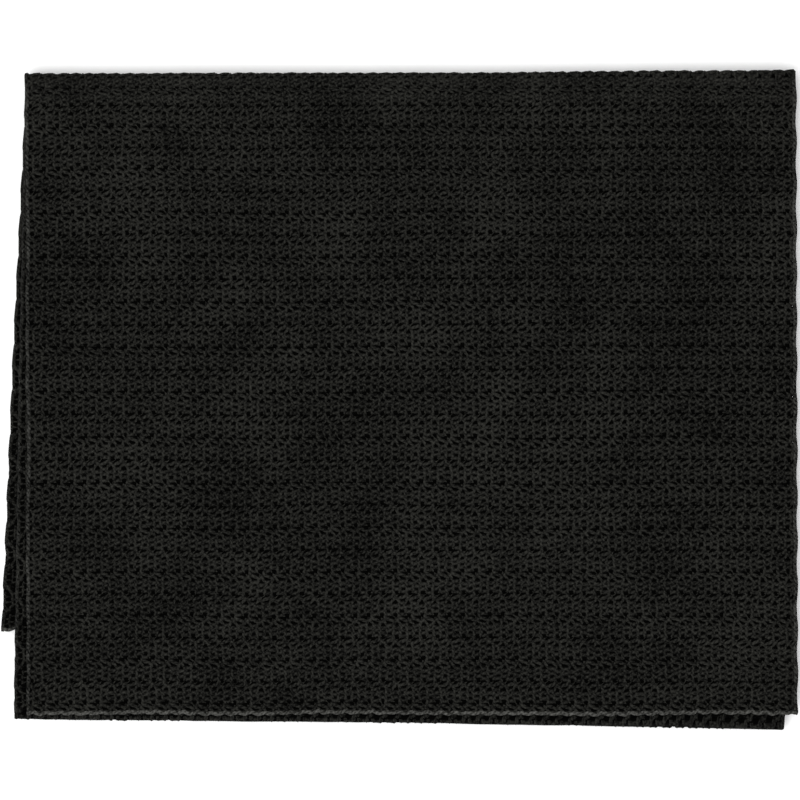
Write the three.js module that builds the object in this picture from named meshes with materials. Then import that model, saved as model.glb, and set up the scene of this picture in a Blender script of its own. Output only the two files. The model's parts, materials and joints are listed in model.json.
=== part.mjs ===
// A wide knitted neckcloth, folded to and fro into a stack of four layers and laid flat.
// Millimetres, +Z up. X runs along the folds and Y up the panels. The stack stands on Z = 0,
// with the origin under the middle of its outline.
import * as THREE from "three";

// ---- Driving dimensions -------------------------------------------------------------------

const CLOTH_WIDTH = 300; // selvedge to selvedge
const LAYER_THICKNESS = 2.0; // one layer of the knit, ridges included
const LAYER_GAP = 0.3; // air between two layers, and between a panel and its fold
const EDGE_CHAIN_WIDTH = 1.4; // the chain of stitches that closes each free end
const SELVEDGE_WAVE_PITCH = 17.2; // one wave of the selvedge for each two rows of ridges
const SELVEDGE_WAVE_DEPTH = 0.5; // crest to trough
const SELVEDGE_STEPS_PER_WAVE = 6;
const ARC_STEPS = 10; // facets round half a turn

// Each line crosses the cloth from selvedge to selvedge. Its middle is at x, y, and it slants by
// so many degrees from X. The layers aren't laid quite square on each other.
const TOP_LINE = { x: 4.2, y: 125.25, slant: 0 };
const BOTTOM_LINE = { x: 0.6, y: -123.5, slant: -0.67 };
const FRONT_END_LINE = { x: 4.8, y: -122.0, slant: 0 };
const BACK_END_LINE = { x: -4.5, y: -89.7, slant: 0 };

// ---- Worked-out sizes ---------------------------------------------------------------------

const LAYER_PITCH = LAYER_THICKNESS + LAYER_GAP;
const FOLD_OUTER_RADIUS = LAYER_THICKNESS + LAYER_GAP / 2;
const FOLD_INNER_RADIUS = LAYER_GAP / 2;
const END_INSET = EDGE_CHAIN_WIDTH + LAYER_GAP;

// Layers are counted from the surface that the stack lies on.
const BACK_LAYER = 0;
const THIRD_LAYER = 1;
const SECOND_LAYER = 2;
const FRONT_LAYER = 3;

const UP = 1;
const DOWN = -1;

// ---- Finish -------------------------------------------------------------------------------

/** Black yarn, as one material for each mesh. */
function yarn(colour) {
  return new THREE.MeshStandardMaterial({ color: colour, roughness: 0.75, metalness: 0 });
}

const KNIT_BLACK = 0x1c1b1a;
const FOLD_BLACK = 0x232221;
const CHAIN_BLACK = 0x2b2a28;

// ---- Lines across the cloth ---------------------------------------------------------------

/** The point of a line that lies along from its middle and off to its upper side. */
function pointOn(line, along, off = 0) {
  const slant = THREE.MathUtils.degToRad(line.slant);
  return new THREE.Vector2(
    line.x + along * Math.cos(slant) - off * Math.sin(slant),
    line.y + along * Math.sin(slant) + off * Math.cos(slant),
  );
}

/** Height of the underside of a layer. */
function layerBottom(layer) {
  return layer * LAYER_PITCH;
}

// ---- Sub-parts ----------------------------------------------------------------------------

/** How far the selvedge lies inside the cloth's full width at a share of a panel's length. */
function selvedgeWave(share, waves) {
  return (SELVEDGE_WAVE_DEPTH / 2) * (1 - Math.cos(2 * Math.PI * waves * share));
}

/** The two selvedge points of each step up a panel, from its lower edge to its upper edge. */
function panelSteps(upper, upperInset, lower, lowerInset) {
  const length = pointOn(upper, 0, -upperInset).distanceTo(pointOn(lower, 0, lowerInset));
  const waves = Math.max(1, Math.round(length / SELVEDGE_WAVE_PITCH));
  const count = waves * SELVEDGE_STEPS_PER_WAVE;
  return Array.from({ length: count + 1 }, (_, step) => {
    const share = step / count;
    const reach = CLOTH_WIDTH / 2 - selvedgeWave(share, waves);
    return [-reach, reach].map((along) =>
      pointOn(lower, along, lowerInset).lerp(pointOn(upper, along, -upperInset), share),
    );
  });
}

/** A flat closed slab from its left and right points, step by step. */
function slab(steps, thickness) {
  const corners = steps.flatMap(([left, right]) => [
    [left.x, left.y, 0],
    [right.x, right.y, 0],
    [left.x, left.y, thickness],
    [right.x, right.y, thickness],
  ]);
  const last = 4 * (steps.length - 1);
  const faces = [0, 1, 3, 0, 3, 2, last, last + 2, last + 3, last, last + 3, last + 1];
  for (let near = 0; near < last; near += 4) {
    const far = near + 4;
    faces.push(near, far, far + 1, near, far + 1, near + 1); // underside
    faces.push(near + 2, near + 3, far + 3, near + 2, far + 3, far + 2); // upper side
    faces.push(near, near + 2, far + 2, near, far + 2, far); // left selvedge
    faces.push(near + 1, far + 1, far + 3, near + 1, far + 3, near + 3); // right selvedge
  }
  const geometry = new THREE.BufferGeometry();
  geometry.setAttribute("position", new THREE.Float32BufferAttribute(corners.flat(), 3));
  geometry.setIndex(faces);
  geometry.computeVertexNormals();
  return geometry;
}

/** One flat panel of the knit between an upper and a lower line. */
function panel(name, layer, upper, upperInset, lower, lowerInset) {
  const geometry = slab(panelSteps(upper, upperInset, lower, lowerInset), LAYER_THICKNESS);
  const mesh = new THREE.Mesh(geometry, yarn(KNIT_BLACK));
  mesh.name = name;
  mesh.position.z = layerBottom(layer);
  return mesh;
}

/** A bar along a line, from its section in the plane of (outwards from the line, height). */
function bar(name, section, line, side, height, colour) {
  const geometry = new THREE.ExtrudeGeometry(section, {
    depth: CLOTH_WIDTH,
    bevelEnabled: false,
    curveSegments: ARC_STEPS,
  });
  geometry.translate(0, 0, -CLOTH_WIDTH / 2);
  geometry.applyMatrix4(
    new THREE.Matrix4().makeBasis(
      new THREE.Vector3(0, 1, 0),
      new THREE.Vector3(0, 0, 1),
      new THREE.Vector3(1, 0, 0),
    ),
  );
  const mesh = new THREE.Mesh(geometry, yarn(colour));
  mesh.name = name;
  mesh.position.set(line.x, line.y, height);
  mesh.rotation.z = THREE.MathUtils.degToRad(line.slant) + (side === UP ? 0 : Math.PI);
  return mesh;
}

/** The bend that joins one layer to the next above it, round a line. */
function fold(name, lowerLayer, line, side) {
  const quarter = Math.PI / 2;
  const section = new THREE.Shape();
  section.absarc(0, 0, FOLD_OUTER_RADIUS, -quarter, quarter, false);
  section.absarc(0, 0, FOLD_INNER_RADIUS, quarter, -quarter, true);
  const height = layerBottom(lowerLayer) + FOLD_OUTER_RADIUS;
  return bar(name, section, line, side, height, FOLD_BLACK);
}

/** The chain of stitches that closes a free end: flat towards the cloth and round outside. */
function edgeChain(name, layer, line) {
  const round = LAYER_THICKNESS / 2;
  const flat = Math.max(EDGE_CHAIN_WIDTH - round, 0);
  const reach = EDGE_CHAIN_WIDTH - flat;
  const section = new THREE.Shape();
  section.moveTo(-EDGE_CHAIN_WIDTH, -round);
  section.lineTo(-reach, -round);
  section.absellipse(-reach, 0, reach, round, -Math.PI / 2, Math.PI / 2, false);
  section.lineTo(-EDGE_CHAIN_WIDTH, round);
  section.closePath();
  return bar(name, section, line, DOWN, layerBottom(layer) + round, CHAIN_BLACK);
}

// ---- Assembly -----------------------------------------------------------------------------

const neckcloth = new THREE.Group();
neckcloth.add(
  panel("back_panel", BACK_LAYER, TOP_LINE, LAYER_GAP, BACK_END_LINE, END_INSET),
  panel("third_panel", THIRD_LAYER, TOP_LINE, LAYER_GAP, BOTTOM_LINE, LAYER_GAP),
  panel("second_panel", SECOND_LAYER, TOP_LINE, LAYER_GAP, BOTTOM_LINE, LAYER_GAP),
  panel("front_panel", FRONT_LAYER, TOP_LINE, LAYER_GAP, FRONT_END_LINE, END_INSET),
  fold("top_back_fold", BACK_LAYER, TOP_LINE, UP),
  fold("bottom_fold", THIRD_LAYER, BOTTOM_LINE, DOWN),
  fold("top_front_fold", SECOND_LAYER, TOP_LINE, UP),
  edgeChain("cast_on_edge", BACK_LAYER, BACK_END_LINE),
  edgeChain("cast_off_edge", FRONT_LAYER, FRONT_END_LINE),
);

// The outline's middle goes to the origin, whatever the sizes are.
neckcloth.updateMatrixWorld(true);
const outlineMiddle = new THREE.Box3().setFromObject(neckcloth, true).getCenter(new THREE.Vector3());
neckcloth.position.set(-outlineMiddle.x, -outlineMiddle.y, 0);

export default neckcloth;
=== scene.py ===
"""A black openwork neckcloth, knitted in one strip, folded to and fro and laid flat.

The cloth is worked out flat first, in its own coordinates: across from selvedge to selvedge, up
the strip from the cast-off edge to the cast-on edge, and out of the face. Geometry nodes repeat one
column of stitches over the width and turn its paths into yarn. Each stretch of the cloth is then
laid on its CAD panel or bent round its fold. Everything is in metres unless a name says otherwise.
"""

from __future__ import annotations

import json
import logging
import math
from collections.abc import Iterable, Mapping, Sequence
from dataclasses import dataclass, field, fields
from enum import Enum
from typing import ClassVar

import bpy
import numpy as np
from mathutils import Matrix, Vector

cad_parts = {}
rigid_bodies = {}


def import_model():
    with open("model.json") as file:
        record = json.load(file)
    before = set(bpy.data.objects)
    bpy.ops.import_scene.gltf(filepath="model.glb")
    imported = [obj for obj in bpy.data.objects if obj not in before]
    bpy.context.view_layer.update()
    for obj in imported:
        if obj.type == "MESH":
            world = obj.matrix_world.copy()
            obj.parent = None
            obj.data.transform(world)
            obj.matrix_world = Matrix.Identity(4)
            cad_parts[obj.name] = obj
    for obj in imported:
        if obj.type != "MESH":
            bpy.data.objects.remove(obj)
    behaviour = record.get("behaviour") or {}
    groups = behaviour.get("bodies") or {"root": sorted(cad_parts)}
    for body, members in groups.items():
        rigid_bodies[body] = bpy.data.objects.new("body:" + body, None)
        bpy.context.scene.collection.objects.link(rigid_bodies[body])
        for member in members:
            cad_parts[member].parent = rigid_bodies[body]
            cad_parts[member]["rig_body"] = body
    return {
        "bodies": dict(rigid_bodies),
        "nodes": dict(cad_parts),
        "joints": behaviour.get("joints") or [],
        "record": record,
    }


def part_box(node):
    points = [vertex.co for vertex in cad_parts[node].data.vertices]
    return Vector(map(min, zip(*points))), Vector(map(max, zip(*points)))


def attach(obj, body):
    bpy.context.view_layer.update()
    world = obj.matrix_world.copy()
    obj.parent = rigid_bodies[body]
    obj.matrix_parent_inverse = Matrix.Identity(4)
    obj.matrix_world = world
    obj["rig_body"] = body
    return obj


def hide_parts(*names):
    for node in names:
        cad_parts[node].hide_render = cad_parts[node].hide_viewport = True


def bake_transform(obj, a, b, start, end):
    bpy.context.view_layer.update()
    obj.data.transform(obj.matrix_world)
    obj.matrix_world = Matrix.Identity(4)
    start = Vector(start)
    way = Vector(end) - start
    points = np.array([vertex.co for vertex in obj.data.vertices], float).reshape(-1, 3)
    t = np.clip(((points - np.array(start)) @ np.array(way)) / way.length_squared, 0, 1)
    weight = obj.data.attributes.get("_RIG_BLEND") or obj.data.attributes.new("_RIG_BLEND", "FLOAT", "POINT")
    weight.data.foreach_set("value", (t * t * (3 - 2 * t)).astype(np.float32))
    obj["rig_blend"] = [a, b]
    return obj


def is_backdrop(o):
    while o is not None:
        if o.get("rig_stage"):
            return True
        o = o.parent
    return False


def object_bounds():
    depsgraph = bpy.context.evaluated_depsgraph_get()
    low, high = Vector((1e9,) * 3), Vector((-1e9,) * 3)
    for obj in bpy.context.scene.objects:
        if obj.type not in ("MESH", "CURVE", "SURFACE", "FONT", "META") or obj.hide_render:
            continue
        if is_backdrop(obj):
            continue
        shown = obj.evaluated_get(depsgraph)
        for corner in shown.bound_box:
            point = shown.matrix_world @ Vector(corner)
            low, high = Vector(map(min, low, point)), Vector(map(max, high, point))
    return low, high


LOG = logging.getLogger("neckcloth")
MM = 0.001
MAP_NAME = "OFBake"

Colour = tuple[float, float, float, float]
Path = tuple[tuple[float, float, float], ...]


class Detail(Enum):
    """How finely the yarn is made: the sides of its strands and how many points they skip."""

    FINE = (5, 0)
    PLAIN = (4, 4)

    @property
    def sides(self) -> int:
        """How many sides a long strand has."""
        return self.value[0]

    @property
    def skips(self) -> int:
        """How many of each band's first points a long strand leaves out, every second one."""
        return self.value[1]


# ---- Node trees ---------------------------------------------------------------------------


class Value:
    """A number socket of a node tree, with Python's operators as Math nodes."""

    def __init__(self, graph: Graph, socket: bpy.types.NodeSocket) -> None:
        """Wraps a socket.

        Args:
            graph: The graph that new Math nodes go into.
            socket: The output socket that holds the number.
        """
        self.graph = graph
        self.socket = socket

    def _math(self, operation: str, *terms: Value | float) -> Value:
        """Adds one Math node on the given terms, in their order."""
        node = self.graph.add("ShaderNodeMath", dict(enumerate(terms)), operation=operation)
        return Value(self.graph, node.outputs[0])

    def __add__(self, other: Value | float) -> Value:
        """self + other."""
        return self._math("ADD", self, other)

    def __radd__(self, other: float) -> Value:
        """other + self."""
        return self._math("ADD", other, self)

    def __sub__(self, other: Value | float) -> Value:
        """self - other."""
        return self._math("SUBTRACT", self, other)

    def __rsub__(self, other: float) -> Value:
        """other - self."""
        return self._math("SUBTRACT", other, self)

    def __mul__(self, other: Value | float) -> Value:
        """self * other."""
        return self._math("MULTIPLY", self, other)

    def __rmul__(self, other: float) -> Value:
        """other * self."""
        return self._math("MULTIPLY", other, self)

    def __truediv__(self, other: Value | float) -> Value:
        """self / other."""
        return self._math("DIVIDE", self, other)

    def __rtruediv__(self, other: float) -> Value:
        """other / self."""
        return self._math("DIVIDE", other, self)

    def cosine(self) -> Value:
        """The cosine of the number, in radians."""
        return self._math("COSINE", self)

    def sine(self) -> Value:
        """The sine of the number, in radians."""
        return self._math("SINE", self)

    def at_least(self, other: Value | float) -> Value:
        """The larger of the two."""
        return self._math("MAXIMUM", self, other)

    def at_most(self, other: Value | float) -> Value:
        """The smaller of the two."""
        return self._math("MINIMUM", self, other)


class Graph:
    """Adds nodes to one node tree."""

    def __init__(self, tree: bpy.types.NodeTree) -> None:
        """Starts on a tree.

        Args:
            tree: The shader or geometry tree to fill.
        """
        self.tree = tree

    def add(
        self, kind: str, inputs: Mapping[str | int, object] | None = None, **settings: object
    ) -> bpy.types.Node:
        """Adds one node.

        Args:
            kind: The node's type.
            inputs: A value, a socket or a Value for each input, by name or number.
            **settings: The node's own settings, which are set first.

        Returns:
            The new node.
        """
        node = self.tree.nodes.new(kind)
        for name, setting in settings.items():
            setattr(node, name, setting)
        for key, given in (inputs or {}).items():
            source = given.socket if isinstance(given, Value) else given
            if isinstance(source, bpy.types.NodeSocket):
                self.tree.links.new(source, node.inputs[key])
            else:
                node.inputs[key].default_value = source
        return node

    def value(
        self,
        kind: str,
        output: str,
        inputs: Mapping[str | int, object] | None = None,
        **settings: object,
    ) -> Value:
        """Adds one node and wraps a number that it gives out."""
        return Value(self, self.add(kind, inputs, **settings).outputs[output])

    def noise(self, place: bpy.types.NodeSocket, size: float, detail: float) -> Value:
        """Adds one Noise Texture node with features of a size and gives its value."""
        inputs = {"Vector": place, "Scale": 1 / size, "Detail": detail}
        return self.value("ShaderNodeTexNoise", "Fac", inputs)

    def vector(self, operation: str, inputs: Mapping[str | int, object]) -> bpy.types.NodeSocket:
        """Adds one Vector Math node and gives its vector."""
        return self.add("ShaderNodeVectorMath", inputs, operation=operation).outputs["Vector"]

    def mix(self, factor: Value, first: Colour, second: Colour) -> bpy.types.NodeSocket:
        """Adds one Mix node between two colours and gives its colour."""
        inputs = {0: factor, 6: first, 7: second}
        return self.add("ShaderNodeMix", inputs, data_type="RGBA").outputs[2]


# ---- Finishes -----------------------------------------------------------------------------


def empty_material(name: str) -> bpy.types.Material:
    """Makes a material whose node tree is still empty."""
    material = bpy.data.materials.new(name)
    material.use_nodes = True
    material.node_tree.nodes.clear()
    return material


@dataclass(frozen=True)
class YarnFinish:
    """Black dress yarn of two plies: smooth, with a low sheen and a few lighter fibres."""

    name: str
    shadow: Colour = (0.0010, 0.0010, 0.0008, 1.0)
    light: Colour = (0.0270, 0.0270, 0.0234, 1.0)
    lightness: float = 0.30
    roughness: float = 0.66
    fibre_roughness: float = 0.12
    specular: float = 0.04
    sheen: float = 0.01
    sheen_roughness: float = 0.4
    ply_pitch: float = 1.9 * MM
    # The plies' crests are painted lighter and their grooves darker: painted shade that follows the ply
    # relief.
    ply_contrast: float = 0.22
    fibre_size: float = 0.9 * MM
    fibre_detail: float = 3.0
    fibre_contrast: float = 1.9
    shade_size: float = 24 * MM
    shade_detail: float = 1.0
    shade_contrast: float = 0.5
    relief: float = 0.07 * MM
    relief_strength: float = 0.8
    ply_relief: float = 0.5
    fibre_relief: float = 0.35

    def build(self) -> bpy.types.Material:
        """Makes the material.

        Returns:
            The material, which reads the yarn's own attributes and Object coordinates.
        """
        material = empty_material(self.name)
        graph = Graph(material.node_tree)
        run = graph.value("ShaderNodeAttribute", "Fac", attribute_name=YarnTree.RUN)
        around = graph.add("ShaderNodeAttribute", attribute_name=YarnTree.ROUND)
        sides = graph.add("ShaderNodeSeparateXYZ", {0: around.outputs["Vector"]}).outputs
        cos_turn, sin_turn = Value(graph, sides["X"]), Value(graph, sides["Y"])
        phase = run * (2 * math.pi / self.ply_pitch)
        plies = 2 * sin_turn * cos_turn * phase.cosine() + (
            cos_turn * cos_turn - sin_turn * sin_turn
        ) * phase.sine()
        place = graph.add("ShaderNodeTexCoord").outputs["Object"]
        fibres = graph.noise(place, self.fibre_size, self.fibre_detail)
        shade = graph.noise(place, self.shade_size, self.shade_detail)
        # The ply term is painted shade in the grooves and light on the crests; the fibres and the broad
        # noise vary the tone at random.
        tone = (
            plies * self.ply_contrast
            + (fibres - 0.5) * self.fibre_contrast
            + (shade - 0.5) * self.shade_contrast
            + self.lightness
        )
        relief = graph.add(
            "ShaderNodeBump",
            {
                "Height": plies * self.ply_relief + fibres * self.fibre_relief,
                "Distance": self.relief,
                "Strength": self.relief_strength,
            },
        )
        shader = graph.add(
            "ShaderNodeBsdfPrincipled",
            {
                "Base Color": graph.mix(tone, self.shadow, self.light),
                "Roughness": self.roughness + fibres * self.fibre_roughness,
                "Normal": relief.outputs["Normal"],
                "Sheen Weight": self.sheen,
                "Sheen Roughness": self.sheen_roughness,
                "Specular IOR Level": self.specular,
            },
        )
        graph.add("ShaderNodeOutputMaterial", {"Surface": shader.outputs["BSDF"]})
        return material


@dataclass(frozen=True)
class FloorFinish:
    """A plain white sweep."""

    colour: Colour = (0.9, 0.9, 0.9, 1.0)
    roughness: float = 0.9

    def build(self) -> bpy.types.Material:
        """Makes the material."""
        material = empty_material("white_sweep")
        graph = Graph(material.node_tree)
        shader = graph.add(
            "ShaderNodeBsdfPrincipled", {"Base Color": self.colour, "Roughness": self.roughness}
        )
        graph.add("ShaderNodeOutputMaterial", {"Surface": shader.outputs["BSDF"]})
        return material


# ---- Yarn as geometry nodes ---------------------------------------------------------------


@dataclass
class YarnTree:
    """The geometry tree that repeats one column's paths over the width and makes them yarn."""

    RUN: ClassVar[str] = "yarn_run"
    ROUND: ClassVar[str] = "yarn_round"
    THICKNESS: ClassVar[str] = "yarn_thickness"
    INPUTS: ClassVar[dict[str, tuple[str, ...]]] = {
        "NodeSocketGeometry": ("Paths",),
        "NodeSocketMaterial": ("Yarn",),
        "NodeSocketInt": ("Columns", "Yarn Sides"),
        "NodeSocketFloat": (
            *("First Column At", "Column Pitch", "Join Within", "Yarn Radius", "Flatness"),
            *("Selvedge At", "Selvedge Wave", "Wave Pitch", "Wave Starts At"),
            *("Unevenness", "Drift", "Slubs", "Seed"),
        ),
    }

    # How far the yarn strays out of the cloth's plane, as a share of how far it strays in it.
    stray_out: float = 0.2
    stray_size: float = 2.6 * MM
    drift_size: float = 55 * MM
    slub_size: float = 3.5 * MM
    slub_detail: float = 1.0
    # What sets the slubs' noise apart from the straying's.
    slub_seed: int = 7
    # How much of its overhang a strand keeps when it is drawn in at a selvedge.
    drawn_in: float = 0.06
    tree: bpy.types.GeometryNodeTree = field(init=False)
    identifiers: dict[str, str] = field(init=False, default_factory=dict)

    def __post_init__(self) -> None:
        """Builds the tree with its named inputs."""
        self.tree = bpy.data.node_groups.new("yarn_over_the_width", "GeometryNodeTree")
        for kind, names in self.INPUTS.items():
            for name in names:
                socket = self.tree.interface.new_socket(name=name, in_out="INPUT", socket_type=kind)
                self.identifiers[name] = socket.identifier
        self.tree.interface.new_socket(
            name="Yarn", in_out="OUTPUT", socket_type="NodeSocketGeometry"
        )
        self._fill(Graph(self.tree))

    def _fill(self, graph: Graph) -> None:
        """Adds the nodes, from the column's paths to the finished yarn."""
        given = graph.add("NodeGroupInput").outputs
        names = [name for name in self.identifiers if name not in ("Paths", "Yarn")]
        number = {name: Value(graph, given[name]) for name in names}
        start = graph.add("ShaderNodeCombineXYZ", {"X": number["First Column At"]}).outputs[0]
        step = graph.add("ShaderNodeCombineXYZ", {"X": number["Column Pitch"]}).outputs[0]
        places = graph.add(
            "GeometryNodeMeshLine",
            {"Count": number["Columns"], "Start Location": start, "Offset": step},
            mode="OFFSET",
        )
        columns = graph.add(
            "GeometryNodeInstanceOnPoints",
            {"Points": places.outputs["Mesh"], "Instance": given["Paths"]},
        )
        paths = graph.add(
            "GeometryNodeRealizeInstances", {"Geometry": columns.outputs["Instances"]}
        )
        joined = graph.add(
            "GeometryNodeMergeByDistance",
            {"Geometry": paths.outputs["Geometry"], "Distance": number["Join Within"]},
        )
        moved = graph.add(
            "GeometryNodeSetPosition",
            {"Geometry": joined.outputs["Geometry"], "Offset": self._unevenness(graph, number)},
        )
        kept_in = graph.add(
            "GeometryNodeSetPosition",
            {"Geometry": moved.outputs["Geometry"], "Position": self._selvedge(graph, number)},
        )
        curves = graph.add("GeometryNodeMeshToCurve", {"Mesh": kept_in.outputs["Geometry"]})
        upright = graph.add(
            "GeometryNodeSetCurveNormal", {"Curve": curves.outputs["Curve"]}, mode="Z_UP"
        )
        thick = graph.add(
            "GeometryNodeSetCurveRadius",
            {"Curve": upright.outputs["Curve"], "Radius": self._thickness(graph, number)},
        )
        run = graph.add("GeometryNodeSplineParameter").outputs["Length"]
        marked = graph.add(
            "GeometryNodeStoreNamedAttribute",
            {"Geometry": thick.outputs["Curve"], "Name": self.RUN, "Value": run},
            data_type="FLOAT",
            domain="POINT",
        )
        yarn = graph.add(
            "GeometryNodeCurveToMesh",
            {
                "Curve": marked.outputs["Geometry"],
                "Profile Curve": self._profile(graph, number),
                "Fill Caps": True,
            },
        )
        smooth = graph.add(
            "GeometryNodeSetShadeSmooth", {"Geometry": yarn.outputs["Mesh"], "Shade Smooth": True}
        )
        real = graph.add("GeometryNodeRealizeInstances", {"Geometry": smooth.outputs["Geometry"]})
        dressed = graph.add(
            "GeometryNodeSetMaterial",
            {"Geometry": real.outputs["Geometry"], "Material": given["Yarn"]},
        )
        graph.add("NodeGroupOutput", {"Yarn": dressed.outputs["Geometry"]})

    def _profile(self, graph: Graph, number: Mapping[str, Value]) -> bpy.types.NodeSocket:
        """The yarn's section, marked with each point's direction from the middle."""
        circle = graph.add(
            "GeometryNodeCurvePrimitiveCircle",
            {"Resolution": number["Yarn Sides"], "Radius": number["Yarn Radius"]},
            mode="RADIUS",
        )
        flat = graph.add(
            "ShaderNodeCombineXYZ",
            {"X": number["Flatness"], "Y": 1 / number["Flatness"], "Z": 1.0},
        )
        oval = graph.add(
            "GeometryNodeTransform",
            {"Geometry": circle.outputs["Curve"], "Scale": flat.outputs["Vector"]},
        )
        place = graph.add("GeometryNodeInputPosition").outputs["Position"]
        marked = graph.add(
            "GeometryNodeStoreNamedAttribute",
            {
                "Geometry": oval.outputs["Geometry"],
                "Name": self.ROUND,
                "Value": graph.vector("NORMALIZE", {0: place}),
            },
            data_type="FLOAT_VECTOR",
            domain="POINT",
        )
        return marked.outputs["Geometry"]

    def _thickness(self, graph: Graph, number: Mapping[str, Value]) -> Value:
        """How thick the yarn is at each point, as a share of its usual radius."""
        given = graph.value(
            "GeometryNodeInputNamedAttribute",
            "Attribute",
            {"Name": self.THICKNESS},
            data_type="FLOAT",
        )
        place = graph.add("GeometryNodeInputPosition").outputs["Position"]
        noise = graph.value(
            "ShaderNodeTexNoise",
            "Fac",
            {
                "Vector": place,
                "W": number["Seed"] + self.slub_seed,
                "Scale": 1 / self.slub_size,
                "Detail": self.slub_detail,
            },
            noise_dimensions="4D",
        )
        return given * (1 + (noise - 0.5) * number["Slubs"])

    def _unevenness(self, graph: Graph, number: Mapping[str, Value]) -> bpy.types.NodeSocket:
        """How far each point of a path strays: by itself, and in slow drifts with its rows."""
        place = graph.add("GeometryNodeInputPosition").outputs["Position"]
        strays = []
        for size, amount in (
            (self.stray_size, number["Unevenness"]),
            (self.drift_size, number["Drift"]),
        ):
            noise = graph.add(
                "ShaderNodeTexNoise",
                {"Vector": place, "W": number["Seed"], "Scale": 1 / size, "Detail": 0.0},
                noise_dimensions="4D",
            )
            centred = graph.vector("SUBTRACT", {0: noise.outputs["Color"], 1: (0.5, 0.5, 0.5)})
            strays.append(graph.vector("SCALE", {0: centred, "Scale": amount}))
        both = graph.vector("ADD", {0: strays[0], 1: strays[1]})
        return graph.vector("MULTIPLY", {0: both, 1: (1.0, 1.0, self.stray_out)})

    def _selvedge(self, graph: Graph, number: Mapping[str, Value]) -> bpy.types.NodeSocket:
        """Where each point goes when strands that leave the cloth are drawn in at its selvedge."""
        place = graph.add("GeometryNodeInputPosition").outputs["Position"]
        parts = graph.add("ShaderNodeSeparateXYZ", {0: place}).outputs
        across, up = Value(graph, parts["X"]), Value(graph, parts["Y"])
        wave = ((up - number["Wave Starts At"]) * (2 * math.pi) / number["Wave Pitch"]).sine()
        half_wave = number["Selvedge Wave"] * 0.5
        right = number["Selvedge At"] - half_wave * (1 + wave)
        left = half_wave * (1 - wave) - number["Selvedge At"]
        inside = across.at_least(left).at_most(right)
        drawn = inside + (across - inside) * self.drawn_in
        moved = graph.add("ShaderNodeCombineXYZ", {"X": drawn, "Y": up, "Z": parts["Z"]})
        return moved.outputs[0]


# ---- Plain meshes -------------------------------------------------------------------------


@dataclass
class Mesh:
    """A mesh as arrays: points, faces as runs of corners, and what each point carries."""

    points: np.ndarray
    corners: np.ndarray
    sizes: np.ndarray
    part: np.ndarray
    run: np.ndarray
    round_yarn: np.ndarray

    @classmethod
    def read(cls, data: bpy.types.Mesh) -> Mesh:
        """Reads a Blender mesh that the yarn tree made."""

        def numbers(items: object, name: str, width: int, kind: type) -> np.ndarray:
            """One property of every item as an array."""
            found = np.empty(len(items) * width, kind)
            items.foreach_get(name, found)
            return found.reshape(-1, width) if width > 1 else found

        attributes = data.attributes
        return cls(
            numbers(data.vertices, "co", 3, np.float32).astype(float),
            numbers(data.loops, "vertex_index", 1, np.int32),
            numbers(data.polygons, "loop_total", 1, np.int32),
            numbers(attributes["part"].data, "value", 1, np.int32),
            numbers(attributes[YarnTree.RUN].data, "value", 1, np.float32),
            numbers(attributes[YarnTree.ROUND].data, "vector", 3, np.float32),
        )

    @classmethod
    def joined(cls, meshes: Sequence[Mesh]) -> Mesh:
        """All the meshes as one."""
        shifts = np.cumsum([0] + [len(m.points) for m in meshes[:-1]])
        arrays = {f.name: np.concatenate([getattr(m, f.name) for m in meshes]) for f in fields(cls)}
        arrays["corners"] += np.repeat(shifts, [len(m.corners) for m in meshes]).astype(np.int32)
        return cls(**arrays)

    def only(self, part: int) -> Mesh:
        """The faces of one numbered part, with only the points that they use."""
        starts = np.cumsum(self.sizes) - self.sizes
        faces = self.part[self.corners[starts]] == part
        used, corners = np.unique(self.corners[np.repeat(faces, self.sizes)], return_inverse=True)
        return Mesh(
            self.points[used],
            corners.astype(np.int32),
            self.sizes[faces],
            self.part[used],
            self.run[used],
            self.round_yarn[used],
        )

    def build(
        self, name: str, places: np.ndarray, material: bpy.types.Material
    ) -> bpy.types.Object:
        """Makes the Blender object.

        Args:
            name: The piece's name.
            places: Where each point ends up.
            material: The piece's finish.

        Returns:
            The object, at the origin, with a map of the flat cloth that keeps its two sides apart.
        """
        data = bpy.data.meshes.new(name)
        data.vertices.add(len(self.points))
        data.loops.add(len(self.corners))
        data.polygons.add(len(self.sizes))
        data.vertices.foreach_set("co", places.astype(np.float32).ravel())
        data.loops.foreach_set("vertex_index", self.corners)
        data.polygons.foreach_set("loop_start", np.cumsum(self.sizes) - self.sizes)
        data.polygons.foreach_set("use_smooth", ~self._caps())
        data.update(calc_edges=True)
        run = data.attributes.new(YarnTree.RUN, "FLOAT", "POINT")
        run.data.foreach_set("value", self.run)
        around = data.attributes.new(YarnTree.ROUND, "FLOAT_VECTOR", "POINT")
        around.data.foreach_set("vector", self.round_yarn.ravel())
        data.uv_layers.new(name=MAP_NAME).uv.foreach_set("vector", self._flat_map().ravel())
        data.materials.append(material)
        data.validate()
        made = bpy.data.objects.new(name, data)
        bpy.context.scene.collection.objects.link(made)
        return made

    def _caps(self) -> np.ndarray:
        """Which faces close a strand's end, because their corners all lie as far along it."""
        starts = np.cumsum(self.sizes) - self.sizes
        run = self.run[self.corners]
        return np.maximum.reduceat(run, starts) == np.minimum.reduceat(run, starts)

    def _flat_map(self) -> np.ndarray:
        """Each corner's place on the map: the cloth's face on the left and its back on the right."""
        low, high = self.points.min(0), self.points.max(0)
        share = (self.points - low) / np.maximum(high - low, 1e-9)
        starts = np.cumsum(self.sizes) - self.sizes
        middle = np.add.reduceat(self.round_yarn[self.corners, 1], starts) / self.sizes
        right = np.repeat(middle < 0, self.sizes)
        half, margin = 0.5, 0.005
        room = (half - 2 * margin, 1 - 2 * margin)
        flat = share[self.corners][:, :2] * room + margin
        flat[:, 0] += half * right
        return flat.astype(np.float32)


# ---- The knit -----------------------------------------------------------------------------


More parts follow.
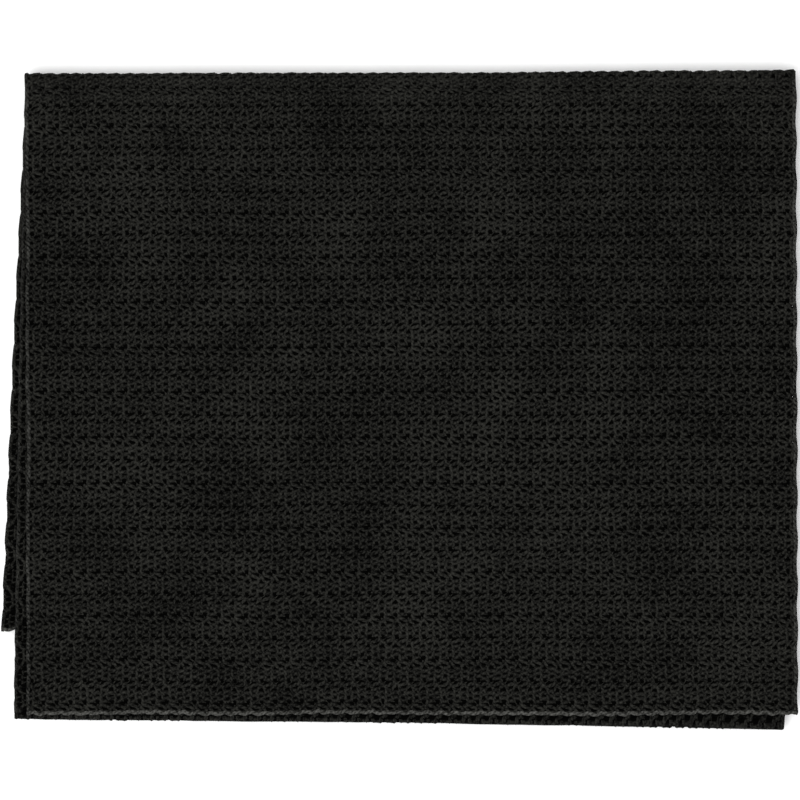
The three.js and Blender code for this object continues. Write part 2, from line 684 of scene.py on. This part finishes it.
@dataclass(frozen=True)
class Stitches:
    """One column and one band of the openwork, in millimetres.

    A path's points are across from the column's middle, down from the ridge above the band, and out
    of the face. Every other band is the mirror image, so the ridges between them slant to and fro.
    """

    columns: int = 57
    column_pitch: float = 5.265
    first_column_at: float = -145.5
    band_pitch: float = 8.605
    yarn_radius: float = 0.56
    # The strand down the left of the column's small holes, which slants over the ridge in front.
    near_strand: Path = (
        (-2.14, 0.76, 0.42),
        (-1.75, 1.28, 0.25),
        (-1.46, 2.02, 0.14),
        (-1.61, 3.19, 0.18),
        (-1.46, 4.28, 0.12),
        (-1.63, 5.29, 0.18),
        (-1.38, 6.54, 0.12),
        (-1.60, 7.35, 0.25),
        (-1.25, 7.94, 0.42),
        (0.35, 8.62, 0.48),
    )
    # The strand down their right, which ties the ridge to the next band.
    far_strand: Path = (
        (1.63, 0.93, 0.05),
        (1.21, 1.48, -0.08),
        (0.74, 2.10, 0.02),
        (0.48, 3.11, 0.14),
        (1.05, 4.28, 0.06),
        (1.05, 5.33, 0.14),
        (1.10, 6.46, 0.00),
        (1.50, 7.20, -0.15),
        (2.12, 7.75, -0.18),
        (3.07, 8.75, 0.10),
    )
    # The heads of the stitches between the two strands of a column.
    narrow_heads: tuple[Path, ...] = (
        ((-1.62, 2.24, 0.02), (-0.95, 2.16, 0.22), (-0.05, 2.16, 0.22), (0.66, 2.24, 0.02)),
        ((-1.45, 4.16, 0.02), (-0.70, 4.06, 0.24), (0.20, 4.06, 0.24), (1.05, 4.16, 0.02)),
        ((-1.42, 6.60, 0.02), (-0.70, 6.48, 0.24), (0.30, 6.48, 0.24), (1.10, 6.60, 0.02)),
    )
    # The heads that cross to the next column, between its large holes.
    wide_heads: tuple[Path, ...] = (
        ((0.35, 3.24, 0.02), (1.40, 3.16, 0.26), (2.70, 3.16, 0.26), (3.74, 3.24, 0.02)),
        ((0.95, 5.36, 0.02), (1.75, 5.28, 0.26), (2.90, 5.28, 0.26), (3.72, 5.36, 0.02)),
        ((2.06, 9.46, -0.05), (2.57, 9.03, 0.26), (3.23, 8.45, 0.26), (3.77, 7.94, -0.05)),
    )
    near_thickness: float = 0.65
    far_thickness: float = 0.76
    head_thickness: float = 0.82
    # How much thicker a head is where it joins the strands.
    head_flare: float = 1.25
    # How far down the band each float lies. A float is a flat ribbon in the middle of the cloth
    # that stands in for the inner loops; its yarn is painted shade, far darker than real yarn, so
    # that the holes are dark.
    float_rows: tuple[float, ...] = (1.25, 2.53, 3.81, 5.09, 6.37, 7.65)
    float_depth: float = 0.06
    float_thickness: float = 0.44

    def two_bands(self, path: Path, mirror_at: float, detail: Detail) -> np.ndarray:
        """Two bands of a strand that runs the whole length of the cloth.

        Args:
            path: Its points down the first band, the ridge below included.
            mirror_at: Where across the mirror stands for the second band.
            detail: How many of its points may be left out.

        Returns:
            The points of both bands, in order.
        """
        first = np.delete(np.array(path), [2 * skip + 1 for skip in range(detail.skips)], axis=0)
        second = first * (-1, 1, 1) + (2 * mirror_at, self.band_pitch, 0)
        return np.concatenate([first, second])

    def head(self, path: Path, detail: Detail) -> np.ndarray:
        """The points of a stitch's head: three where the detail is plain, and else four."""
        points = np.array(path)
        if detail is Detail.PLAIN:
            return np.array([points[0], points[1:3].mean(0), points[3]])
        return points


@dataclass(frozen=True)
class Strand:
    """A flat-cloth path, its part's number and its points' thickness as shares of the yarn's."""

    points: np.ndarray
    part: int
    thickness: np.ndarray

    @classmethod
    def even(cls, points: np.ndarray, part: int, thickness: float, flare: float = 1.0) -> Strand:
        """A strand of one thickness, but for its two ends.

        Args:
            points: Its path.
            part: Its part's number.
            thickness: How thick it is, as a share of the yarn's thickness.
            flare: How much thicker its ends are.

        Returns:
            The strand.
        """
        along = np.full(len(points), thickness)
        along[[0, -1]] *= flare
        return cls(points, part, along)


@dataclass
class PathSet:
    """Strands that are repeated over the same columns."""

    first_column: int
    columns: int
    strands: list[Strand] = field(default_factory=list)

    def template(self) -> bpy.types.Mesh:
        """The strands of one column as a mesh of edges."""
        points = np.concatenate([s.points for s in self.strands])
        counts = np.array([len(s.points) for s in self.strands])
        part = np.repeat(np.array([s.part for s in self.strands], np.int32), counts)
        thickness = np.concatenate([s.thickness for s in self.strands]).astype(np.float32)
        first = np.setdiff1d(np.arange(len(points)), np.cumsum(counts) - 1)
        data = bpy.data.meshes.new("column_paths")
        data.vertices.add(len(points))
        data.vertices.foreach_set("co", points.astype(np.float32).ravel())
        data.edges.add(len(first))
        data.edges.foreach_set("vertices", np.stack([first, first + 1], 1).astype(np.int32).ravel())
        data.attributes.new("part", "INT", "POINT").data.foreach_set("value", part)
        thick = data.attributes.new(YarnTree.THICKNESS, "FLOAT", "POINT")
        thick.data.foreach_set("value", thickness)
        return data


@dataclass
class Knitter:
    """Knits the whole flat cloth."""

    stitches: Stitches
    tree: YarnTree
    yarn: bpy.types.Material
    # Painted shade: the floats' yarn, far darker than real yarn.
    inner_yarn: bpy.types.Material
    # Painted highlight: the edge chain's yarn, lighter where the rim catches the light.
    chain_yarn: bpy.types.Material
    # Painted highlight: the selvedge strands' yarn, lighter along the rim.
    selvedge_yarn: bpy.types.Material
    half_width: float
    front_length: float = 247.2 * MM
    ridge_at: float = 2.69 * MM
    # How far rows stray up the front, as a half wave and a whole wave over its length.
    row_waves: tuple[float, float] = (0.71 * MM, -1.12 * MM)
    # Where the rows start to be pushed down towards the front fold, over what length, and how far.
    push_from: float = 234.9 * MM
    push_over: float = 17.2 * MM
    push: float = 3.2 * MM
    push_power: float = 1.6
    selvedge_wave: float = 0.3 * MM
    unevenness: float = 0.9 * MM
    drift: float = 2.6 * MM
    slubs: float = 0.5
    flatness: float = 1.35
    seed: float = 4.0
    join_within: float = 0.01 * MM
    chain_steps: int = 8
    chain_sway: float = 0.32 * MM
    chain_lift: float = 0.12 * MM
    chain_thickness: float = 0.52
    # The height and the start of the sway, in radians, of each of a chain's two strands.
    chain_strands: tuple[tuple[float, float], ...] = ((0.30 * MM, 0.4), (-0.30 * MM, 0.8))
    head_sides: int = 4
    float_sides: int = 3
    float_flatness: float = 2.6
    selvedge_inset: float = 0.45 * MM
    selvedge_steps: int = 8
    selvedge_height: float = 0.42 * MM
    selvedge_bob: float = 0.16 * MM
    selvedge_bobs_per_band: int = 2
    selvedge_thickness: float = 0.34
    selvedge_swell: float = 0.3
    reach_in: ClassVar[float] = 0.03 * MM

    def knit(self, parts: Sequence[Part], detail: Detail) -> Mesh:
        """Knits some parts of the strip, between the edge chains.

        Args:
            parts: The stretches to knit, each from one height up the strip to another.
            detail: How fine the yarn's section is.

        Returns:
            The flat knit, with every point marked with its part.
        """
        sides = [detail.sides, self.head_sides, self.head_sides, self.head_sides]
        made = [
            self._grow(paths, count, self.yarn)
            for paths, count in zip(self._path_sets(parts, detail), sides, strict=True)
            if paths.strands
        ]
        return Mesh.joined(made)

    def floats(self, part: Part) -> Mesh:
        """Knits the floats: flat ribbons in painted shade that darken the holes.

        Args:
            part: The stretch of cloth that they lie in.

        Returns:
            The flat floats.
        """
        stitches = self.stitches
        half, out = stitches.column_pitch / 2, stitches.float_depth
        paths = PathSet(-1, stitches.columns + 1)
        for row in stitches.float_rows:
            for down in (row, row + stitches.band_pitch):
                points = np.array([(-half, down, out), (half, down, out)])
                for moved in self._bands(points, part.start, part.end):
                    laid = self._laid(moved)
                    if part.start <= laid[0, 1] < part.end:
                        strand = Strand.even(laid, part.number, stitches.float_thickness)
                        paths.strands.append(strand)
        # The floats' yarn is painted shade.
        return self._grow(
            paths, self.float_sides, self.inner_yarn, self.join_within, self.float_flatness
        )

    def selvedges(self, part: Part) -> Mesh:
        """Works the strand that runs up each selvedge.

        Args:
            part: The stretch of cloth that they edge.

        Returns:
            The two flat strands.
        """
        stitches = self.stitches
        reach = self.half_width - self.selvedge_inset
        first = stitches.first_column_at * MM
        last = first + (stitches.columns - 1) * stitches.column_pitch * MM
        steps = np.arange(part.start, part.end, stitches.band_pitch * MM / self.selvedge_steps)
        bobs, swell = self.selvedge_bobs_per_band, self.selvedge_swell
        made = []
        for column, across in ((0, -reach - first), (stitches.columns - 1, reach - last)):
            bob = np.sin(steps * (2 * math.pi * bobs / (stitches.band_pitch * MM)))
            lift = self.selvedge_height + self.selvedge_bob * bob
            path = np.stack([np.full(len(steps), across), steps, lift], 1)
            strand = Strand(path, part.number, self.selvedge_thickness * (1 + swell * bob))
            paths = PathSet(column, 1, [strand])
            # The selvedge yarn carries a painted highlight.
            made.append(self._grow(paths, Detail.FINE.sides, self.selvedge_yarn))
        return Mesh.joined(made)

    def chain(self, part: Part, middle: float) -> Mesh:
        """Works the chain of edge stitches: two strands, one over the other, that wave.

        Args:
            part: The part that the chain is.
            middle: How far up the strip its middle line lies.

        Returns:
            The flat chain.
        """
        pitch = self.stitches.column_pitch * MM
        turn = np.linspace(0, 2 * math.pi, self.chain_steps + 1)
        across = (turn / (2 * math.pi) - 0.5) * pitch
        paths = PathSet(-1, self.stitches.columns + 1)
        for height, start in self.chain_strands:
            up = middle + self.chain_sway * np.sin(turn + start)
            out = height + self.chain_lift * np.cos(2 * turn)
            points = np.stack([across, up, out], 1)
            paths.strands.append(Strand.even(points, part.number, self.chain_thickness))
        # The chain's yarn carries a painted highlight.
        return self._grow(paths, Detail.FINE.sides, self.chain_yarn, self.join_within)

    def _path_sets(self, parts: Sequence[Part], detail: Detail) -> Iterable[PathSet]:
        """The strands and stitch heads of one column, for the columns that have each."""
        stitches, count = self.stitches, self.stitches.columns
        low, high = min(p.start for p in parts), max(p.end for p in parts)
        strands = PathSet(-1, count + 1)
        near = stitches.two_bands(stitches.near_strand, 0, detail)
        far = stitches.two_bands(stitches.far_strand, stitches.column_pitch / 2, detail)
        for path, thickness in ((near, stitches.near_thickness), (far, stitches.far_thickness)):
            whole = self._laid(np.concatenate(list(self._bands(path, low, high))))
            whole = whole[np.argsort(whole[:, 1], kind="stable")]
            strands.strands += [
                Strand.even(self._cut(whole, part), part.number, thickness) for part in parts
            ]
        yield strands
        narrow, wide, wide_mirrored = PathSet(0, count), PathSet(-1, count), PathSet(0, count)
        for paths, into, into_mirrored in (
            (stitches.narrow_heads, narrow, narrow),
            (stitches.wide_heads, wide, wide_mirrored),
        ):
            for path in paths:
                head = stitches.head(path, detail)
                mirrored = head * (-1, 1, 1) + (0, stitches.band_pitch, 0)
                for points, target in ((head, into), (mirrored, into_mirrored)):
                    for moved in self._bands(points, low, high):
                        self._put(self._laid(moved), parts, target)
        yield from (narrow, wide, wide_mirrored)

    def _bands(self, points: np.ndarray, low: float, high: float) -> Iterable[np.ndarray]:
        """Copies of a path for every second band from low to high up the strip."""
        pitch = 2 * self.stitches.band_pitch
        for band in range(math.floor(low / MM / pitch) - 2, math.ceil(high / MM / pitch) + 2):
            yield points - (0, band * pitch, 0)

    def _laid(self, points: np.ndarray) -> np.ndarray:
        """Paths given as across, down and out, in millimetres, as flat-cloth places in metres."""
        top = self.ridge_at + self.stitches.band_pitch * MM
        up = self._settled(top - points[:, 1] * MM)
        return np.stack([points[:, 0] * MM, up, points[:, 2] * MM], 1)

    def _settled(self, up: np.ndarray) -> np.ndarray:
        """Where rows end up: not quite evenly spaced, and pushed together at the front fold."""
        share = np.clip(up / self.front_length, 0, 1)
        once, twice = self.row_waves
        uneven = once * np.sin(np.pi * share) + twice * np.sin(2 * np.pi * share)
        nearness = np.clip((up - self.push_from) / self.push_over, 0, 1)
        return up + uneven - self.push * nearness**self.push_power

    @staticmethod
    def _cut(points: np.ndarray, part: Part) -> np.ndarray:
        """The stretch of a strand that lies in a part, and just reaches into the next parts."""
        low, high = part.start - Knitter.reach_in, part.end + Knitter.reach_in
        inside = points[(points[:, 1] > low) & (points[:, 1] < high)]
        first, last = (
            [np.interp(at, points[:, 1], points[:, axis]) for axis in range(3)] for at in (low, high)
        )
        return np.concatenate([[first], inside, [last]])

    def _put(self, points: np.ndarray, parts: Sequence[Part], target: PathSet) -> None:
        """Gives a stitch's head to the part that holds its middle, if one does."""
        middle = points[:, 1].mean()
        thickness, flare = self.stitches.head_thickness, self.stitches.head_flare
        for part in parts:
            if part.start <= middle < part.end:
                target.strands.append(Strand.even(points, part.number, thickness, flare))

    def _grow(
        self,
        paths: PathSet,
        sides: int,
        yarn: bpy.types.Material,
        join_within: float = 0.0,
        flatness: float | None = None,
    ) -> Mesh:
        """Runs the yarn tree on one set of paths and gives a plain mesh."""
        stitches = self.stitches
        pitch = stitches.column_pitch * MM
        data = paths.template()
        source = bpy.data.objects.new("column_paths", data)
        bpy.context.scene.collection.objects.link(source)
        modifier = source.modifiers.new("yarn", "NODES")
        modifier.node_group = self.tree.tree
        settings = {
            "Columns": paths.columns,
            "First Column At": stitches.first_column_at * MM + paths.first_column * pitch,
            "Column Pitch": pitch,
            "Join Within": join_within,
            "Yarn Radius": stitches.yarn_radius * MM,
            "Yarn Sides": sides,
            "Selvedge At": self.half_width - stitches.yarn_radius * MM,
            "Selvedge Wave": self.selvedge_wave,
            "Wave Pitch": 2 * stitches.band_pitch * MM,
            "Wave Starts At": self.ridge_at,
            "Unevenness": self.unevenness,
            "Drift": self.drift,
            "Slubs": self.slubs,
            "Flatness": flatness or self.flatness,
            "Seed": self.seed,
            "Yarn": yarn,
        }
        for name, value in settings.items():
            modifier[self.tree.identifiers[name]] = value
        bpy.context.view_layer.update()
        graph = bpy.context.evaluated_depsgraph_get()
        grown = bpy.data.meshes.new_from_object(source.evaluated_get(graph))
        mesh = Mesh.read(grown)
        source.modifiers.remove(modifier)
        bpy.data.objects.remove(source)
        bpy.data.meshes.remove(data)
        bpy.data.meshes.remove(grown)
        return mesh


# ---- The folded strip ---------------------------------------------------------------------


@dataclass(frozen=True)
class CrossLine:
    """A line across the cloth, where it is folded or ends."""

    centre: np.ndarray
    along: np.ndarray

    @classmethod
    def of_joint(cls, joint: Mapping[str, object]) -> CrossLine:
        """The line of a hinge, running to the right."""
        axis = np.array(joint["axis"], float)[:2]
        along = axis * np.sign(axis[0]) / np.linalg.norm(axis)
        return cls(np.array(joint["pos_m"], float)[:2], along)

    @classmethod
    def of_edge(cls, node: str) -> CrossLine:
        """The lower edge of a straight edge chain."""
        low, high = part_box(node)
        return cls(np.array([(low.x + high.x) / 2, low.y]), np.array([1.0, 0.0]))

    def at(self, across: np.ndarray) -> np.ndarray:
        """The points that lie so far along the line from its middle."""
        return self.centre + across[:, None] * self.along

    def up(self) -> np.ndarray:
        """The direction at right angles to the line, up the panels."""
        return np.array([-self.along[1], self.along[0]])


@dataclass
class Part:
    """A stretch of the strip that is one piece."""

    name: str
    number: int
    start: float
    end: float


@dataclass
class Panel:
    """A flat stretch between two lines."""

    node: str
    start: float
    from_line: CrossLine
    to_line: CrossLine
    face: int
    pieces: int
    # How far the soft cloth lies to the side at its start, middle and end.
    bow: tuple[float, float, float] = (0.0, 0.0, 0.0)

    def length(self) -> float:
        """How much of the strip lies in it."""
        return float(np.linalg.norm(self.to_line.centre - self.from_line.centre))

    def end(self) -> float:
        """How far up the strip it ends."""
        return self.start + self.length()

    def place(self, points: np.ndarray) -> np.ndarray:
        """Lays flat-cloth points on the panel."""
        low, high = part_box(self.node)
        share = ((points[:, 1] - self.start) / self.length())[:, None]
        across = points[:, 0] + np.interp(share[:, 0], (0, 0.5, 1), self.bow)
        flat = self.from_line.at(across) * (1 - share) + self.to_line.at(across) * share
        height = (low.z + high.z) / 2 + self.face * points[:, 2]
        return np.column_stack([flat, height])


@dataclass
class Bend:
    """A half turn round a fold line, from one layer down to the next."""

    node: str
    start: float
    line: CrossLine
    side: int
    face: int
    upper: str
    lower: str
    shift: float = 0.0
    # How much further out than the fold's round the cloth reaches at its left, middle and right.
    bulge: tuple[float, float, float] = (0.0, 0.0, 0.0)

    def _heights(self) -> tuple[float, float]:
        """The middle heights of the upper and the lower layer."""
        return tuple(sum(corner.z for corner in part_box(n)) / 2 for n in (self.upper, self.lower))

    def radius(self) -> float:
        """The radius of the cloth's middle round the fold."""
        upper, lower = self._heights()
        return (upper - lower) / 2

    def end(self) -> float:
        """How far up the strip it ends."""
        return self.start + math.pi * self.radius()

    def place(self, points: np.ndarray) -> np.ndarray:
        """Bends flat-cloth points round the fold."""
        upper, lower = self._heights()
        turn = (points[:, 1] - self.start) / self.radius()
        reach = self.radius() + self.face * points[:, 2]
        half = np.abs(points[:, 0]).max()
        bulge = np.interp(points[:, 0], (-half, 0, half), self.bulge)
        out = (reach + bulge) * np.sin(turn)
        flat = self.line.at(points[:, 0] + self.shift) + np.outer(out, self.side * self.line.up())
        return np.column_stack([flat, (upper + lower) / 2 + reach * np.cos(turn)])


@dataclass
class Neckcloth:
    """The whole folded neckcloth."""

    frame: Mapping[str, object]
    chain_width: float = 1.4 * MM
    knit_margin: float = 0.4 * MM
    chain_inset: float = 0.25 * MM
    knit_finish: YarnFinish = YarnFinish("black_knit_yarn")
    # The floats' yarn is painted shade, far darker than real black yarn, so that the holes look dark.
    inner_finish: YarnFinish = YarnFinish(
        "black_inner_yarn",
        (0.0004, 0.0004, 0.0003, 1.0),
        (0.0010, 0.0010, 0.0008, 1.0),
        specular=0.01,
    )
    # The edge chain's yarn is painted lighter than the knit's: a painted highlight where the rim catches the
    # light.
    chain_finish: YarnFinish = YarnFinish(
        "black_edge_yarn", (0.0120, 0.0120, 0.0105, 1.0), (0.0950, 0.0950, 0.0880, 1.0)
    )
    # The selvedge strands' yarn is painted lighter than the knit's: a painted highlight along the rim.
    selvedge_finish: YarnFinish = YarnFinish(
        "black_selvedge_yarn", (0.0010, 0.0010, 0.0008, 1.0), (0.0560, 0.0560, 0.0510, 1.0)
    )

    def __post_init__(self) -> None:
        """Works out the lines and stretches from the frame."""
        joints = {j["name"]: j for j in self.frame["joints"]}
        front_top = CrossLine.of_joint(joints["unfold_front"])
        bottom = CrossLine.of_joint(joints["unfold_middle"])
        back_top = CrossLine.of_joint(joints["unfold_back"])
        front_end = CrossLine.of_edge("cast_off_edge")
        back_end = CrossLine.of_edge("cast_on_edge")
        front = Panel("front_panel", 0.0, front_end, front_top, 1, 4)
        front_bend = Bend(
            "top_front_fold", front.end(), front_top, 1, 1, "front_panel", "second_panel"
        )
        front_bend.bulge = (0.25 * MM, 0.5 * MM, 1.6 * MM)
        second = Panel("second_panel", front_bend.end(), front_top, bottom, -1, 3)
        bottom_bend = Bend(
            "bottom_fold", second.end(), bottom, -1, -1, "second_panel", "third_panel"
        )
        bottom_bend.shift, bottom_bend.bulge = -0.8 * MM, (1.6 * MM, 1.2 * MM, 2.2 * MM)
        third = Panel("third_panel", bottom_bend.end(), bottom, back_top, 1, 3)
        back_bend = Bend("top_back_fold", third.end(), back_top, 1, 1, "third_panel", "back_panel")
        back_bend.bulge = (0.2 * MM, 0.4 * MM, 1.3 * MM)
        back = Panel("back_panel", back_bend.end(), back_top, back_end, -1, 3)
        second.bow, third.bow = (0.0, -0.8 * MM, -0.8 * MM), (-0.8 * MM, -0.8 * MM, 0.0)
        back.bow = (0.0, -0.9 * MM, -1.0 * MM)
        self.panels = [front, second, third, back]
        self.bends = [front_bend, bottom_bend, back_bend]

    def build(self) -> list[bpy.types.Object]:
        """Knits, folds and dresses every piece.

        Returns:
            The pieces, each riding on its body or bending between two.
        """
        knitter = Knitter(
            Stitches(),
            YarnTree(),
            self.knit_finish.build(),
            self.inner_finish.build(),
            self.chain_finish.build(),
            self.selvedge_finish.build(),
            self._width() / 2,
        )
        made: list[bpy.types.Object] = []
        bends = {bend.node: self._bend(knitter, bend) for bend in self.bends}
        front, back = self.panels[0], self.panels[-1]
        chains = {
            front.node: self._chain(knitter, front, "cast_off_edge", 0.0, 1),
            back.node: self._chain(knitter, back, "cast_on_edge", back.end(), -1),
        }
        for panel, bend in zip(self.panels, [*self.bends, None], strict=True):
            detail = Detail.FINE if panel.node == "front_panel" else Detail.PLAIN
            along = list(bends[bend.node]) if bend else []
            along += [chains[panel.node]] if panel.node in chains else []
            made += self._panel(knitter, panel, detail, along)
        return [*made, *(piece for bend in bends.values() for piece in bend), *chains.values()]

    @staticmethod
    def _width() -> float:
        """The cloth's width, from selvedge to selvedge."""
        low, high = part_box("cast_off_edge")
        return high.x - low.x

    def _parts(self, panel: Panel) -> list[Part]:
        """The strips that a panel is made in, so that no piece is too heavy."""
        start = panel.start + (self.knit_margin if panel.node == "front_panel" else 0)
        end = panel.end() - (self.knit_margin if panel.node == "back_panel" else 0)
        cuts = np.linspace(start, end, panel.pieces + 1)
        name = panel.node.replace("_panel", "_knit")
        return [
            Part(f"{name}_{number + 1}", number, float(low), float(high))
            for number, (low, high) in enumerate(zip(cuts[:-1], cuts[1:], strict=True))
        ]

    def _panel(
        self, knitter: Knitter, panel: Panel, detail: Detail, along: Sequence[bpy.types.Object]
    ) -> list[bpy.types.Object]:
        """One panel's floats in painted shade and its selvedges, then its strips of knit, each riding on the
        panel's body.
        """
        parts = self._parts(panel)
        flat = knitter.knit(parts, detail)
        shade_and_edge_pieces = self._floats_and_selvedges(knitter, panel)
        made = list(shade_and_edge_pieces)
        for part in parts:
            mesh = flat.only(part.number)
            piece = mesh.build(part.name, panel.place(mesh.points), knitter.yarn)
            made.append(self._riding(piece, panel.node))
            part.end - part.start
            self._below(panel)
            [*shade_and_edge_pieces, *along] if part.number == 0 else ()
        return made

    def _floats_and_selvedges(self, knitter: Knitter, panel: Panel) -> list[bpy.types.Object]:
        """One panel's floats, in painted shade, and its selvedge strands, with a painted highlight."""
        start = panel.start + (self.chain_width if panel.node == "front_panel" else 0)
        end = panel.end() - (self.chain_width if panel.node == "back_panel" else 0)
        made = []
        for kind, work, yarn in (
            ("floats", knitter.floats, knitter.inner_yarn),
            ("selvedges", knitter.selvedges, knitter.selvedge_yarn),
        ):
            part = Part(panel.node.replace("panel", kind), 0, start, end)
            mesh = work(part)
            piece = mesh.build(part.name, panel.place(mesh.points), yarn)
            made.append(self._riding(piece, panel.node))
        return made

    def _below(self, panel: Panel) -> list[str]:
        """The panel that a panel lies on, if there is one."""
        names = [p.node for p in self.panels]
        return names[names.index(panel.node) + 1 :][:1]

    def _bend(self, knitter: Knitter, bend: Bend) -> list[bpy.types.Object]:
        """One fold's knit and floats in painted shade, which turn between its two bodies."""
        part = Part(bend.node.replace("_fold", "_bend"), 0, bend.start, bend.end())
        upper, lower = (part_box(node) for node in (bend.upper, bend.lower))
        made = []
        for name, mesh, yarn in (
            (part.name, knitter.knit([part], Detail.FINE), knitter.yarn),
            (f"{part.name}_floats", knitter.floats(part), knitter.inner_yarn),
        ):
            piece = mesh.build(name, bend.place(mesh.points), yarn)
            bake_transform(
                piece,
                body_of_node(self.frame, bend.lower),
                body_of_node(self.frame, bend.upper),
                start=(0, 0, (lower[0].z + lower[1].z) / 2),
                end=(0, 0, (upper[0].z + upper[1].z) / 2),
            )
            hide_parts(bend.node)
            LOG.info("%s: %d faces", piece.name, len(mesh.sizes))
            made.append(piece)
        return made

    def _chain(
        self, knitter: Knitter, panel: Panel, node: str, at: float, inwards: int
    ) -> bpy.types.Object:
        """The chain of stitches along a free end."""
        part = Part(node.replace("_edge", "_chain"), 0, at, at)
        mesh = knitter.chain(part, at + inwards * self.chain_inset)
        piece = mesh.build(part.name, panel.place(mesh.points), knitter.chain_yarn)
        return self._riding(piece, node)

    def _riding(self, piece: bpy.types.Object, node: str) -> bpy.types.Object:
        """Lets a piece ride on a CAD node's body and stand for the node.

        Args:
            piece: The finished piece.
            node: The CAD node that it replaces.

        Returns:
            The same piece.
        """
        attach(piece, body_of_node(self.frame, node))
        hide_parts(node)
        LOG.info("%s: %d faces", piece.name, len(piece.data.polygons))
        return piece


def body_of_node(frame: Mapping[str, object], node: str) -> str:
    """The name of the CAD body that a node belongs to."""
    return frame["nodes"][node]["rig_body"]


# ---- Studio -------------------------------------------------------------------------------


@dataclass
class Studio:
    """A white sweep, even soft light and a camera straight above."""

    view_width: float = 0.3113
    lens: float = 200.0
    sensor: float = 36.0
    floor_size: float = 8.0
    floor_drop: float = 0.3 * MM
    sky_strength: float = 1.0
    lamp_power: float = 26.0
    lamp_size: float = 1.6
    lamp_at: tuple[float, float, float] = (-0.6, -0.5, 1.7)

    def build(self) -> None:
        """Sets up the floor, the light and the camera."""
        self._floor()
        self._light()
        self._camera()
        scene = bpy.context.scene
        scene.view_settings.view_transform = "Standard"
        scene.view_settings.look = "None"

    def _floor(self) -> None:
        """The surface that the cloth lies on."""
        half = self.floor_size / 2
        data = bpy.data.meshes.new("floor")
        turns = ((-1, -1), (1, -1), (1, 1), (-1, 1))
        corners = [(x * half, y * half, -self.floor_drop) for x, y in turns]
        data.from_pydata(corners, [], [(0, 1, 2, 3)])
        data.materials.append(FloorFinish().build())
        floor = bpy.data.objects.new("floor", data)
        bpy.context.scene.collection.objects.link(floor)
        floor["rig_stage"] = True

    def _light(self) -> None:
        """An even sky and one large soft lamp."""
        world = bpy.data.worlds.new("studio")
        world.use_nodes = True
        background = world.node_tree.nodes["Background"]
        background.inputs["Color"].default_value = (1.0, 1.0, 1.0, 1.0)
        background.inputs["Strength"].default_value = self.sky_strength
        bpy.context.scene.world = world
        lamp = bpy.data.lights.new("soft_lamp", "AREA")
        lamp.energy = self.lamp_power
        lamp.size = self.lamp_size
        lit = bpy.data.objects.new("soft_lamp", lamp)
        lit.location = self.lamp_at
        lit.rotation_euler = (-Vector(self.lamp_at)).to_track_quat("-Z", "Y").to_euler()
        bpy.context.scene.collection.objects.link(lit)

    def _camera(self) -> None:
        """A long lens straight above, with the panels running up the picture."""
        low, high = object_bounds()
        data = bpy.data.cameras.new("camera")
        data.lens, data.sensor_width = self.lens, self.sensor
        data.clip_end = 20.0
        camera = bpy.data.objects.new("camera", data)
        middle = (low + high) / 2
        distance = self.view_width * self.lens / self.sensor
        camera.location = (middle.x, middle.y, high.z + distance)
        bpy.context.scene.collection.objects.link(camera)
        bpy.context.scene.camera = camera


def main() -> None:
    """Builds the neckcloth round its CAD frame."""
    logging.basicConfig(level=logging.INFO, format="%(name)s: %(message)s")
    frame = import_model()
    cad_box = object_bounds()
    Studio().build()
    pieces = Neckcloth(frame).build()
    LOG.info("%d pieces", len(pieces))
    boxes = {"cad": cad_box, "visual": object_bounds()}
    plain = {name: [list(corner) for corner in box] for name, box in boxes.items()}


if __name__ == "__main__":
    main()
